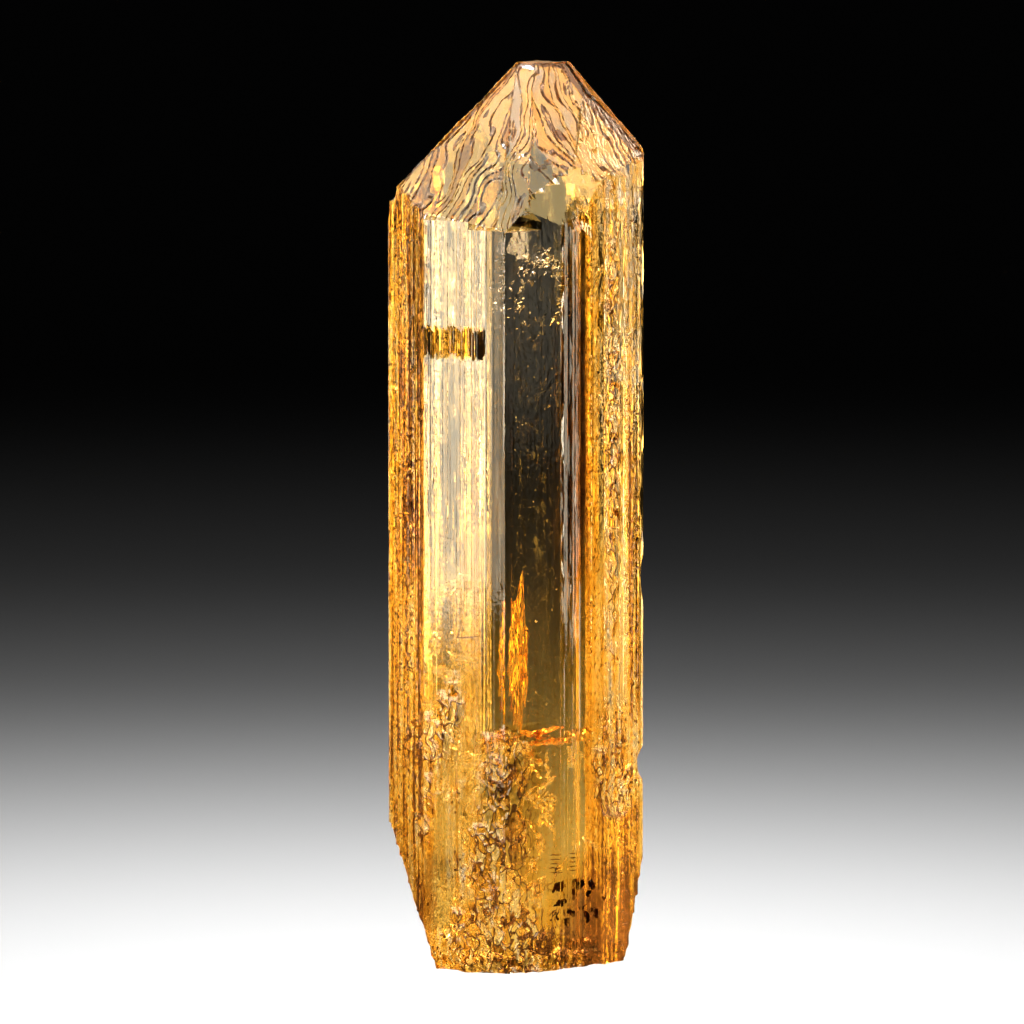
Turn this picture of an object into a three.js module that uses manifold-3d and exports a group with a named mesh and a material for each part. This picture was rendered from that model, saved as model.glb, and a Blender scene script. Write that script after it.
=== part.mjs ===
// Topaz crystal: one natural prism with a striated body, a blunt pyramid top and a broken foot.
//
// Millimetres and degrees, +Z up along the length of the crystal, -Y to the front.
// The origin is the middle of the flat cleavage that the crystal stands on.
//
// A crystal is described here as a mineralogist does it: each face has an azimuth (0 faces the
// front, positive turns towards +X), a slope (the angle of its normal from +Z, 90 on the prism)
// and a place. A prism face is placed by its distance from the long axis. A sloping face is
// placed by the height at which its plane meets that axis.

import * as THREE from 'three';
import { mergeVertices } from 'three/addons/utils/BufferGeometryUtils.js';
import Module from 'manifold-3d';

// ---- Driving dimensions ----

const HEIGHT = 50.0;
const WIDTH = 14.04;
const M_AZIMUTH = 27.85;
const L_AZIMUTH = 46.6;
const STEP_DEPTH = 0.11;
const STEP_RISER = 0.05;

// Faces of the prism in order of azimuth, with the number of growth steps that stripe each one.
const PRISM = [
  { name: 'b left', azimuth: -90, distance: WIDTH / 2, steps: 4 },
  { name: 'l front left', azimuth: -L_AZIMUTH, distance: 6.14, steps: 9 },
  { name: 'm front left', azimuth: -M_AZIMUTH, distance: 5.53, steps: 8 },
  { name: 'm bevel left', azimuth: -24.0, distance: 5.59, steps: 3 },
  { name: 'm front right', azimuth: M_AZIMUTH, distance: 4.89, steps: 5 },
  { name: 'l bevel right', azimuth: 37.0, distance: 4.86, steps: 5 },
  { name: 'l front right', azimuth: L_AZIMUTH, distance: 4.92, steps: 12 },
  { name: 'b right', azimuth: 90, distance: WIDTH / 2, steps: 3 },
  { name: 'l back right', azimuth: 180 - L_AZIMUTH, distance: 6.02, steps: 7 },
  { name: 'm back right', azimuth: 180 - M_AZIMUTH, distance: 5.43, steps: 9 },
  { name: 'm back left', azimuth: 180 + M_AZIMUTH, distance: 4.92, steps: 8 },
  { name: 'l back left', azimuth: 180 + L_AZIMUTH, distance: 4.9, steps: 11 },
];

// Faces of the top.
const TOP = [
  { name: 'o front left', azimuth: -23.5, slope: 60.8, meetsAxis: 51.44 },
  { name: 'o front middle', azimuth: -6.3, slope: 60.6, meetsAxis: 51.54 },
  { name: 'o front right', azimuth: 25.0, slope: 63.7, meetsAxis: 52.65 },
  { name: 'o right', azimuth: 38.7, slope: 69.1, meetsAxis: 55.78 },
  { name: 'dome right', azimuth: 68.5, slope: 53.2, meetsAxis: 53.55 },
  { name: 'o back right', azimuth: 180 - M_AZIMUTH, slope: 63.9, meetsAxis: 53.27 },
  { name: 'dome left', azimuth: -120.9, slope: 53.2, meetsAxis: 49.49 },
  { name: 'c', azimuth: 0, slope: 0, meetsAxis: HEIGHT },
];

// Flat breaks that narrow the foot; their planes lean outwards as they rise.
const FOOT = [
  { name: 'foot left', azimuth: -88, slope: 107.5, meetsAxis: -14.5 },
  { name: 'foot back left', azimuth: -128, slope: 118, meetsAxis: -9.0 },
  { name: 'foot right', azimuth: 92, slope: 99.4, meetsAxis: -37.1 },
  { name: 'foot back', azimuth: 170, slope: 112, meetsAxis: -13.6 },
];

// Ledges: shallow flats sunk into a face, long and narrow. across is measured along the face
// from the point nearest the axis (positive to the right), up is the height of the ledge's
// middle, and lean turns its long side away from the fall line of the face.
const LEDGES = [
  { on: 'o front left', across: -4.2, up: 44.2, wide: 0.9, long: 4.2, deep: 0.16, lean: -16 },
  { on: 'o front left', across: -2.6, up: 44.6, wide: 0.7, long: 5.6, deep: 0.10, lean: -14 },
  { on: 'o front left', across: -1.3, up: 46.4, wide: 0.8, long: 4.4, deep: 0.12, lean: -12 },
  { on: 'o front left', across: -0.2, up: 42.6, wide: 1.3, long: 2.6, deep: 0.14, lean: -18 },
  { on: 'o front left', across: 0.7, up: 47.6, wide: 0.5, long: 3.8, deep: 0.08, lean: -10 },
  { on: 'o front middle', across: 0.2, up: 43.6, wide: 0.8, long: 4.6, deep: 0.09, lean: -9 },
  { on: 'o front middle', across: 1.0, up: 47.4, wide: 0.5, long: 3.2, deep: 0.11, lean: -7 },
  { on: 'o front right', across: 0.6, up: 46.4, wide: 0.6, long: 5.4, deep: 0.12, lean: 10 },
  { on: 'o front right', across: 1.8, up: 44.8, wide: 0.9, long: 4.0, deep: 0.15, lean: 13 },
  { on: 'o right', across: 1.4, up: 47.6, wide: 0.8, long: 2.2, deep: 0.18, lean: 18 },
  { on: 'o right', across: 2.6, up: 45.2, wide: 0.7, long: 3.0, deep: 0.12, lean: 20 },
  { on: 'o right', across: 4.0, up: 45.2, wide: 0.6, long: 2.4, deep: 0.10, lean: 24 },
  { on: 'o back right', across: -1.2, up: 45.6, wide: 1.2, long: 6.0, deep: 0.14, lean: 8 },
  { on: 'o back right', across: 1.4, up: 44.4, wide: 0.9, long: 4.4, deep: 0.10, lean: -9 },
  { on: 'dome left', across: -1.6, up: 45.2, wide: 1.0, long: 4.2, deep: 0.13, lean: 10 },
  { on: 'dome left', across: 1.2, up: 44.2, wide: 1.3, long: 5.0, deep: 0.11, lean: -8 },
  { on: 'm front left', across: 0.9, up: 35.0, wide: 3.1, long: 1.6, deep: 0.14, lean: 0 },
  { on: 'm front left', across: 1.8, up: 21.5, wide: 0.6, long: 15.0, deep: 0.15, lean: 0 },
  { on: 'l front left', across: -1.3, up: 27.0, wide: 0.45, long: 26.0, deep: 0.18, lean: 0 },
  { on: 'l front left', across: -2.3, up: 15.0, wide: 0.6, long: 12.0, deep: 0.15, lean: 0 },
  { on: 'l front right', across: 1.9, up: 31.0, wide: 0.5, long: 27.0, deep: 0.20, lean: 0 },
  { on: 'l front right', across: 2.7, up: 33.0, wide: 0.4, long: 20.0, deep: 0.16, lean: 0 },
  { on: 'l front right', across: 0.9, up: 14.0, wide: 0.5, long: 17.0, deep: 0.14, lean: 0 },
  { on: 'l bevel right', across: 1.2, up: 30.0, wide: 0.3, long: 25.0, deep: 0.13, lean: 0 },
  { on: 'm back left', across: -0.6, up: 25.0, wide: 0.7, long: 22.0, deep: 0.15, lean: 0 },
  { on: 'm back right', across: 0.8, up: 18.0, wide: 0.8, long: 20.0, deep: 0.14, lean: 0 },
  { on: 'l back left', across: 0.2, up: 29.0, wide: 0.6, long: 24.0, deep: 0.17, lean: 0 },
  { on: 'l back right', across: 0.3, up: 30.0, wide: 0.5, long: 18.0, deep: 0.15, lean: 0 },
];

// Scoops: the shell-shaped hollows that a knock leaves, each part of a ball sunk into a face.
const SCOOPS = [
  { on: 'l front right', across: 2.9, up: 9.5, radius: 3.4, deep: 0.32 },
  { on: 'l bevel right', across: 0.7, up: 42.0, radius: 2.6, deep: 0.24 },
  { on: 'b right', across: 0.7, up: 10.9, radius: 1.5, deep: 0.52 },
  { on: 'b right', across: 0.7, up: 21.3, radius: 4.5, deep: 0.2 },
  { on: 'b left', across: 0.9, up: 42.0, radius: 1.8, deep: 0.22 },
  { on: 'foot left', across: -0.6, up: 4.4, radius: 2.4, deep: 0.24 },
  { on: 'foot left', across: 2.4, up: 2.0, radius: 2.8, deep: 0.3 },
  { on: 'foot back left', across: 0.2, up: 2.6, radius: 3.6, deep: 0.3 },
  { on: 'foot right', across: -0.6, up: 1.9, radius: 2.2, deep: 0.2 },
  { on: 'foot back', across: 1.0, up: 1.8, radius: 3.2, deep: 0.3 },
  { on: 'm back right', across: -2.2, up: 33.0, radius: 3.0, deep: 0.2 },
];

// The shoulder step: a block of growth that is missing at the top left corner.
const SHOULDER = { x: -6.31, y: -2.0, z: 42.75, size: 1.8, tilt: 32 };

// ---- Geometry ----

const wasm = await Module();
wasm.setup();

const radians = THREE.MathUtils.degToRad;
const axisZ = new THREE.Vector3(0, 0, 1);
const CUTTER = 4 * HEIGHT;

// An irregular but repeatable number from 0 to 1 for the n-th item.
const uneven = (n) => Math.abs(Math.sin(n * 12.9898) * 43758.5453) % 1;

function solidFrom(geometry) {
  geometry.deleteAttribute('normal');
  geometry.deleteAttribute('uv');
  const merged = mergeVertices(geometry, 1e-5);
  const vertProperties = new Float32Array(merged.attributes.position.array);
  const triVerts = new Uint32Array(merged.index.array);
  return new wasm.Manifold(new wasm.Mesh({ numProp: 3, vertProperties, triVerts }));
}

// The outward normal, the direction along the face and the distance of its plane from the origin.
function frameOf({ azimuth, slope = 90, distance, meetsAxis }) {
  const turn = radians(azimuth);
  const tip = radians(slope);
  const outwards = new THREE.Vector3(Math.sin(turn), -Math.cos(turn), 0);
  const normal = outwards.clone().multiplyScalar(Math.sin(tip)).addScaledVector(axisZ, Math.cos(tip));
  const along = new THREE.Vector3(Math.cos(turn), Math.sin(turn), 0);
  const offset = distance ?? normal.z * meetsAxis;
  return { outwards, normal, along, offset, sine: Math.sin(tip) };
}

// The point of a face at a given place across it and height up it.
function pointOn(frame, across, up) {
  const reach = (frame.offset - frame.normal.z * up) / frame.sine;
  const point = frame.outwards.clone().multiplyScalar(reach);
  return point.addScaledVector(frame.along, across).setZ(up);
}

// Everything beyond one face's plane.
function beyond(face) {
  const { normal, offset } = frameOf(face);
  const block = new THREE.BoxGeometry(CUTTER, CUTTER, CUTTER);
  block.translate(0, 0, CUTTER / 2);
  block.applyQuaternion(new THREE.Quaternion().setFromUnitVectors(axisZ, normal));
  block.translate(...normal.multiplyScalar(offset).toArray());
  return solidFrom(block);
}

function ledgeCutter(ledge, face) {
  const frame = frameOf(face);
  const upSlope = new THREE.Vector3().crossVectors(frame.normal, frame.along);
  const turned = new THREE.Matrix4().makeBasis(frame.along, upSlope, frame.normal);
  const block = new THREE.BoxGeometry(ledge.wide, ledge.long, 2);
  block.translate(0, 0, 1 - ledge.deep);
  block.rotateZ(radians(ledge.lean));
  block.applyMatrix4(turned);
  block.translate(...pointOn(frame, ledge.across, ledge.up).toArray());
  return solidFrom(block);
}

function scoopCutter(scoop, face) {
  const frame = frameOf(face);
  const ball = new THREE.SphereGeometry(scoop.radius, 28, 18);
  const centre = pointOn(frame, scoop.across, scoop.up);
  centre.addScaledVector(frame.normal, scoop.radius - scoop.deep);
  ball.translate(...centre.toArray());
  return solidFrom(ball);
}

// The corner where two neighbouring prism faces meet, seen along the axis.
function cornerOf(first, second) {
  const a = frameOf(first);
  const b = frameOf(second);
  const area = a.normal.x * b.normal.y - a.normal.y * b.normal.x;
  const x = (a.offset * b.normal.y - b.offset * a.normal.y) / area;
  const y = (a.normal.x * b.offset - b.normal.x * a.offset) / area;
  return new THREE.Vector2(x, y);
}

// The section of the prism: sharp corners, with growth steps cut back between them.
function stripedOutline() {
  const outline = [];
  PRISM.forEach((face, index) => {
    const start = cornerOf(PRISM.at(index - 1), face);
    const end = cornerOf(face, PRISM[(index + 1) % PRISM.length]);
    const { normal } = frameOf(face);
    const inwards = new THREE.Vector2(-normal.x, -normal.y);
    const riser = STEP_RISER / start.distanceTo(end);
    outline.push(start);
    let depth = 0;
    for (let step = 1; step < face.steps; step += 1) {
      const place = (step + 0.6 * (uneven(step + 31 * index) - 0.5)) / face.steps;
      outline.push(start.clone().lerp(end, place).addScaledVector(inwards, depth));
      depth = STEP_DEPTH * (0.15 + 0.85 * uneven(7 * step + 53 * index));
      outline.push(start.clone().lerp(end, place + riser).addScaledVector(inwards, depth));
    }
  });
  return outline;
}

function shoulderCutter({ x, y, z, size, tilt }) {
  const block = new THREE.BoxGeometry(size, size * 3, size);
  block.translate(-size / 2, 0, size / 2);
  block.rotateY(radians(-tilt));
  block.translate(x, y, z);
  return solidFrom(block);
}

function crystalGeometry() {
  const section = new THREE.Shape(stripedOutline());
  const prism = new THREE.ExtrudeGeometry(section, { depth: HEIGHT + 1, bevelEnabled: false });
  let crystal = solidFrom(prism);

  const faces = [...PRISM, ...TOP, ...FOOT];
  const faceNamed = (name) => faces.find((face) => face.name === name);
  for (const face of [...TOP, ...FOOT]) {
    crystal = crystal.subtract(beyond(face));
  }
  for (const ledge of LEDGES) {
    crystal = crystal.subtract(ledgeCutter(ledge, faceNamed(ledge.on)));
  }
  for (const scoop of SCOOPS) {
    crystal = crystal.subtract(scoopCutter(scoop, faceNamed(scoop.on)));
  }
  crystal = crystal.subtract(shoulderCutter(SHOULDER));

  const { vertProperties, triVerts } = crystal.getMesh();
  const geometry = new THREE.BufferGeometry();
  geometry.setAttribute('position', new THREE.BufferAttribute(vertProperties, 3));
  geometry.setIndex(new THREE.BufferAttribute(triVerts, 1));
  geometry.computeVertexNormals();
  return geometry;
}

// ---- The object ----

const honeyTopaz = new THREE.MeshStandardMaterial({
  color: '#cf8f35',
  roughness: 0.05,
  metalness: 0.0,
});

const group = new THREE.Group();
const crystal = new THREE.Mesh(crystalGeometry(), honeyTopaz);
crystal.name = 'topaz_crystal';
group.add(crystal);

export default group;
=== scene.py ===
# %% [markdown]
# # A topaz crystal
# This notebook dresses one object: a loose crystal of golden-orange topaz, 50 mm tall, standing on its
# broken foot. The CAD frame holds its faces, growth steps and chips at their real size. Here the same faces
# are cut again from a block, striped much more finely, cracked inside and made of light-bending material.

# %% Load the frame
import bisect
import math
import random

import bmesh
import bpy
from mathutils import Matrix, Vector, kdtree, noise
from mathutils.bvhtree import BVHTree


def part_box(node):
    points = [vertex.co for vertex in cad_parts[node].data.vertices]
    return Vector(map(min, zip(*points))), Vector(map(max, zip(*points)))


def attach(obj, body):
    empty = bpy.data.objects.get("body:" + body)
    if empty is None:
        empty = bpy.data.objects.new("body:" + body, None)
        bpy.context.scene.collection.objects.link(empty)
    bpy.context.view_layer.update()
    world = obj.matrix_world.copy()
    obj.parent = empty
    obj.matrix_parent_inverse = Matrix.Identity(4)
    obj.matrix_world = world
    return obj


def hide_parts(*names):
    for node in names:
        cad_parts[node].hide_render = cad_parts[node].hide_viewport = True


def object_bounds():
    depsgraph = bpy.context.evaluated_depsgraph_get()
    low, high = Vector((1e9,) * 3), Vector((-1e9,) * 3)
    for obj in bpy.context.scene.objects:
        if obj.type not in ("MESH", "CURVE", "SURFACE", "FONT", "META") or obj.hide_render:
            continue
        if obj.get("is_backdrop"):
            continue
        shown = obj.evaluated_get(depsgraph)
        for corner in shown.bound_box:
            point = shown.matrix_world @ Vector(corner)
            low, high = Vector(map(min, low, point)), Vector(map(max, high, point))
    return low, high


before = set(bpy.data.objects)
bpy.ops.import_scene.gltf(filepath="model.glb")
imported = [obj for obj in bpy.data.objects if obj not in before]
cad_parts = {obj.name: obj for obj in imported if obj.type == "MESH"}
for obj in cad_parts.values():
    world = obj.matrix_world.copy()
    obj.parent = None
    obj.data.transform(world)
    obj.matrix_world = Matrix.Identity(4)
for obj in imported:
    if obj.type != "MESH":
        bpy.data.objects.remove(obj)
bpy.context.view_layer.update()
low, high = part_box("topaz_crystal")
MM = 0.001
HEIGHT = high.z
print("crystal box in mm:", [round(s / MM, 2) for s in high - low])

# %% [markdown]
# ## The camera
# A small thing is best seen from far off through a long lens, because its upright edges then stay parallel.
# The view is 56.5 mm wide where the crystal stands.

# %% Camera
LENS = 400.0
SENSOR = 36.0
VIEW_WIDTH = 56.5 * MM
LOOK_DOWN = math.radians(6.8)
AIM = Vector((-0.22, 0.0, 25.04)) * MM


def new_object(name, data):
    made = bpy.data.objects.new(name, data)
    bpy.context.collection.objects.link(made)
    return made


backwards = Vector((0.0, -math.cos(LOOK_DOWN), math.sin(LOOK_DOWN)))
camera = new_object("camera", bpy.data.cameras.new("camera"))
camera.data.lens = LENS
camera.data.sensor_width = SENSOR
camera.data.clip_start = 10 * MM
camera.data.clip_end = 10.0
camera.location = AIM + backwards * VIEW_WIDTH * LENS / SENSOR
camera.rotation_mode = "QUATERNION"
camera.rotation_quaternion = (-backwards).to_track_quat("-Z", "Y")
bpy.context.scene.camera = camera
print("camera stands", round(camera.location.length / MM), "mm away")

# %% [markdown]
# ## The faces
# Topaz grows as a prism with a lozenge section. Mineralogists name the faces by letters: m and l are the
# upright pairs, b the narrow ones at the sides, o the sloping ones on top and c the small flat tip. Each is
# a true plane, so it is kept as a direction and a distance, which is exact.

# %% Faces of the crystal
M_AZIMUTH = 27.85
L_AZIMUTH = 46.6


class Face:
    """A plane of the crystal. azimuth 0 faces the front (-Y), slope is the normal's angle from +Z."""

    def __init__(self, name, azimuth, slope=90.0, distance=None, meets_axis=None, lean=0.0):
        turn, tip = math.radians(azimuth), math.radians(slope)
        self.name = name
        self.outwards = Vector((math.sin(turn), -math.cos(turn), 0.0))
        self.normal = self.outwards * math.sin(tip) + Vector((0.0, 0.0, math.cos(tip)))
        self.along = Vector((math.cos(turn), math.sin(turn), 0.0))
        self.up = self.normal.cross(self.along)
        self.offset = distance * MM if distance is not None else self.normal.z * meets_axis * MM
        self.sine = math.sin(tip)
        grain_turn = Matrix.Rotation(math.radians(lean), 3, self.normal)
        self.grain = grain_turn @ self.up
        self.across_grain = grain_turn @ self.along

    def point(self, across, up):
        """The point of the face at a place across it and at a height, both in millimetres."""
        reach = (self.offset - self.normal.z * up * MM) / self.sine
        place = self.outwards * reach + self.along * across * MM
        place.z = up * MM
        return place


PRISM = [
    Face(name, azimuth, distance=distance)
    for name, azimuth, distance in (
        ("b left", -90, 7.02),
        ("l front left", -L_AZIMUTH, 6.14),
        ("m front left", -M_AZIMUTH, 5.53),
        ("m bevel left", -24.0, 5.59),
        ("m front right", M_AZIMUTH, 4.89),
        ("l bevel right", 37.0, 4.86),
        ("l front right", L_AZIMUTH, 4.92),
        ("b right", 90, 7.02),
        ("l back right", 180 - L_AZIMUTH, 6.02),
        ("m back right", 180 - M_AZIMUTH, 5.43),
        ("m back left", 180 + M_AZIMUTH, 4.92),
        ("l back left", 180 + L_AZIMUTH, 4.9),
    )
]
TOP = [
    Face(name, azimuth, slope, meets_axis=meets_axis, lean=lean)
    for name, azimuth, slope, meets_axis, lean in (
        ("o front left", -23.5, 60.8, 51.44, -15),
        ("o front middle", -6.3, 60.6, 51.54, -10),
        ("o front right", 25.0, 63.7, 52.65, 13),
        ("o right", 38.7, 69.1, 55.78, 20),
        ("y front right", 33.0, 78.0, 64.3, 0),
        ("dome right", 68.5, 53.2, 53.55, 10),
        ("o back right", 180 - M_AZIMUTH, 63.9, 53.27, 8),
        ("dome left", -120.9, 53.2, 49.49, -8),
        ("c", 0, 0, HEIGHT / MM, 0),
    )
]
FOOT = [
    Face("foot left", -88, 107.5, meets_axis=-14.5),
    Face("foot back left", -128, 118, meets_axis=-9.0),
    Face("foot right", 92, 99.4, meets_axis=-37.1),
    Face("foot back", 170, 112, meets_axis=-13.6),
    Face("cleavage", 0, 180, meets_axis=0.0),
]
FACES = PRISM + TOP + FOOT
NUMBER = {face.name: index + 1 for index, face in enumerate(FACES)}
print(len(FACES), "faces:", ", ".join(NUMBER))

# %% [markdown]
# ## The block is cut down to the crystal
# A gem cutter starts with a block and takes away everything beyond each plane. Blender's bisect_plane does
# just that, and each open cut is closed by one new face. Each face remembers its number in an integer
# layer, so it can be found again.

# %% Cut the faces
FINE = 1e-8

crystal = bmesh.new()
number_of = crystal.faces.layers.int.new("face")
bmesh.ops.create_cube(crystal, size=3 * HEIGHT)


def cut_beyond(face, number):
    whole = crystal.verts[:] + crystal.edges[:] + crystal.faces[:]
    cut = bmesh.ops.bisect_plane(
        crystal,
        geom=whole,
        dist=FINE,
        plane_co=face.normal * face.offset,
        plane_no=face.normal,
        clear_outer=True,
    )
    rim = [part for part in cut["geom_cut"] if isinstance(part, bmesh.types.BMEdge)]
    for made in bmesh.ops.edgeloop_fill(crystal, edges=rim)["faces"]:
        made[number_of] = number


for face in FACES:
    cut_beyond(face, NUMBER[face.name])
bmesh.ops.recalc_face_normals(crystal, faces=crystal.faces[:])
print("plain crystal:", len(crystal.faces), "faces")

# %% [markdown]
# ## Slicing the faces for relief
# Growth stripes run the whole length of the prism, so an upright face needs many narrow columns but few
# rows, and an even grid would be a waste. Parallel cuts in increasing order are quick, because each only
# has to touch what is still whole.

# %% Slicing
Z_AXIS = Vector((0.0, 0.0, 1.0))
rng = random.Random(7)


def with_edges(faces):
    edges = {edge for face in faces for edge in face.edges}
    verts = {vert for face in faces for vert in face.verts}
    return list(faces) + list(edges) + list(verts)


def slice_faces(faces, normal, places):
    """Cuts faces by parallel planes at increasing places along a normal, and returns all the pieces."""
    done, whole = [], list(faces)
    for place in places:
        if not whole:
            break
        cut = bmesh.ops.bisect_plane(
            crystal, geom=with_edges(whole), dist=FINE, plane_co=normal * place, plane_no=normal
        )
        found = [part for part in cut["geom"] if isinstance(part, bmesh.types.BMFace)]
        whole = [face for face in found if face.calc_center_median().dot(normal) > place]
        done += [face for face in found if face.calc_center_median().dot(normal) <= place]
    return done + whole


def span_of(faces, direction):
    reach = [vert.co.dot(direction) for face in faces for vert in face.verts]
    return min(reach), max(reach)


def uneven_steps(start, end, narrow, wide):
    """Places from start to end whose spacing varies between narrow and wide."""
    places = []
    place = start + rng.uniform(narrow, wide)
    while place < end - narrow / 2:
        places.append(place)
        place += rng.uniform(narrow, wide)
    return places


def faces_numbered(*names):
    wanted = {NUMBER[name] for name in names}
    return [face for face in crystal.faces if face[number_of] in wanted]


def slice_unevenly(face, direction, narrow, wide):
    mine = faces_numbered(face.name)
    start, end = span_of(mine, direction)
    slice_faces(mine, direction, uneven_steps(start, end, narrow, wide))


# %% [markdown]
# ## Striations of the prism
# Each prism face is a staircase of flats a fraction of a millimetre wide. A bump texture could fake it, but
# real steps bend the light and show in the outline. A zone says how wide its flats are, how much their
# depths differ and how far they turn. Broad faces are almost plane, narrow ones strongly striped, and one
# zone at the right has flats that turn the same way and glitter together.

# %% Zones of stripes
# In millimetres and degrees: start, end, narrowest and widest flat, relief, turn and the spread of the turn.
ROUGH = (0.08, 0.24, 0.05, 0.0, 5.0)
MEDIUM = (0.12, 0.4, 0.03, 0.0, 2.5)
CLEAR = (0.7, 2.4, 0.005, 0.0, 0.1)
GLITTER = (0.12, 0.3, 0.03, -4.0, 6.0)
ALL = (-9.0, 9.0)
ZONES = {
    "b left": [(*ALL, *ROUGH)],
    "l front left": [(*ALL, *ROUGH)],
    "m front left": [(-9.0, 0.2, 0.06, 0.2, 0.008, 0.0, 1.1), (0.2, 9.0, 0.06, 0.16, 0.01, 0.0, 1.7)],
    "m bevel left": [(*ALL, 0.06, 0.16, 0.006, 0.0, 0.8)],
    "m front right": [(*ALL, *CLEAR)],
    "l bevel right": [(*ALL, 0.06, 0.2, 0.015, 0.0, 3.6)],
    "l front right": [(-9.0, 1.3, 0.7, 1.2, 0.008, 0.0, 0.3), (1.3, 3.8, *GLITTER), (3.8, 9.0, *ROUGH)],
    "b right": [(*ALL, *ROUGH)],
    "l back right": [(*ALL, *MEDIUM)],
    "m back right": [(*ALL, *CLEAR)],
    "m back left": [(*ALL, *CLEAR)],
    "l back left": [(-9.0, 1.0, *CLEAR), (1.0, 9.0, *MEDIUM)],
}
print("zones of stripes:", sum(len(zones) for zones in ZONES.values()))

# %% [markdown]
# ## A staircase
# A staircase is kept as the places of its cuts and a rule for the depth at each. Flats narrower than CALM
# drift, end and twist along the crystal, as grown steps do, while wide ones stay true. The left front face
# has a short band whose flats all tip by 11 degrees, so that it mirrors something else.

# %% Staircase
RISER = 0.03 * MM
CALM = 0.6
DRIFT_LENGTH = 7.0 * MM
ENDING_LENGTH = 3.1 * DRIFT_LENGTH
TWIST_LENGTH = 2.5 * MM
LONG_TWIST = 5 * TWIST_LENGTH
FINE_RELIEF = 0.012 * MM
BAND = (34.1, 35.7)
BAND_FALL = math.tan(math.radians(-11))


class Stripes:
    """The staircase across one prism face: places of its cuts, and the depth at each for any height."""

    def __init__(self, start, end, zones, band=None):
        self.places, self.flats, self.band = [start], [None], band
        place = start + RISER
        while place < end - 4 * RISER:
            across = place / MM
            zone = next(zone for zone in zones if zone[0] <= across < zone[1])
            _, _, narrow, wide, relief, turn, spread = zone
            width = min(rng.uniform(narrow, wide) * MM, end - RISER - place)
            slope = math.tan(math.radians(rng.gauss(turn, spread * 0.6)))
            restless = 1.0 if wide < CALM else 0.0
            flat = (rng.random(), relief * MM, slope * width, rng.uniform(0, 50), restless)
            self.places += [place, place + width]
            self.flats += [(*flat, 0), (*flat, 1)]
            place += width + RISER
        self.places.append(end)
        self.flats.append(None)

    def depth_at_cut(self, cut, height):
        if self.flats[cut] is None:
            return 0.0
        share, relief, fall, seed, restless, side = self.flats[cut]
        drift = noise.noise(Vector((seed, 0.0, height / DRIFT_LENGTH)))
        ended = 0.5 if noise.cell(Vector((seed, 3.0, height / ENDING_LENGTH))) > 0.2 else 0.0
        depth = relief * (share + restless * (0.6 * drift + ended))
        twist_length = TWIST_LENGTH if relief > FINE_RELIEF else LONG_TWIST
        fall *= 1.0 + 2.0 * restless * noise.noise(Vector((seed, 7.0, height / twist_length)))
        if self.band and self.band[0] * MM < height + 0.4 * MM * (share - 0.5) < self.band[1] * MM:
            fall = BAND_FALL * self.width_at(cut)
        return max(0.0, depth + max(0.0, -fall) + fall * side)

    def width_at(self, cut):
        """Width of the flat that a cut bounds."""
        first = cut - self.flats[cut][-1]
        return self.places[first + 1] - self.places[first]

    def depth(self, place, height):
        after = min(max(1, bisect.bisect_left(self.places, place)), len(self.places) - 1)
        before, gap = self.places[after - 1], self.places[after] - self.places[after - 1]
        share = min(1.0, max(0.0, (place - before) / gap))
        first, second = self.depth_at_cut(after - 1, height), self.depth_at_cut(after, height)
        return first + share * (second - first)


# %% [markdown]
# ## The staircases are cut
# First every upright face gets its rows, with closer ones round the band, and then the columns of its own
# staircase.

# %% Slice the prism
ROW = 0.6 * MM
BAND_ROW = 0.15
rows = uneven_steps(0.0, HEIGHT, 0.7 * ROW, 1.3 * ROW)
slice_faces(faces_numbered(*[face.name for face in PRISM]), Z_AXIS, rows)
band_rows = [(BAND[0] - 0.5 + BAND_ROW * step) * MM for step in range(18)]
slice_faces(faces_numbered("m front left"), Z_AXIS, band_rows)
stripes = {}
for face in PRISM:
    mine = faces_numbered(face.name)
    start, end = span_of(mine, face.along)
    band = BAND if face.name == "m front left" else None
    stripes[NUMBER[face.name]] = Stripes(start, end, ZONES[face.name], band)
    slice_faces(mine, face.along, stripes[NUMBER[face.name]].places[1:-1])
print("prism sliced:", len(crystal.faces), "faces")

# %% [markdown]
# ## Slicing the top and the foot
# Etching follows a grain that leans on each sloping face, so these are sliced along and across it, finely
# in front and coarser behind. The breaks of the foot have no grain, and get a plain grid.

# %% Slice the top
ETCHED_TOP = ("o front left", "o front middle", "o front right", "o right")
FRONT_GRAIN = (0.065 * MM, 0.16 * MM)
BACK_GRAIN = (0.14 * MM, 0.4 * MM)
for face in TOP:
    across, along = FRONT_GRAIN if face.name in ETCHED_TOP else BACK_GRAIN
    slice_unevenly(face, face.across_grain, 0.7 * across, 1.3 * across)
    slice_unevenly(face, face.grain, 0.8 * along, 1.2 * along)
print("top sliced:", len(crystal.faces), "faces")

# %% Slice the foot
BREAK_GRID = 0.24 * MM
for face in FOOT:
    for direction in (face.along, face.up):
        slice_unevenly(face, direction, 0.8 * BREAK_GRID, 1.2 * BREAK_GRID)
print("foot sliced:", len(crystal.faces), "faces")

# %% [markdown]
# ## Chips
# A knock on a glassy mineral takes off a shell-shaped flake. A boolean with a ball is slow and leaves
# slivers. Here the points of a face inside the ball are pushed back onto its far side, with fine ripples
# round the place that was struck.

# %% A chip
RIPPLE_HEIGHT = 0.012 * MM
RIPPLE_LENGTH = 0.3 * MM


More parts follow.
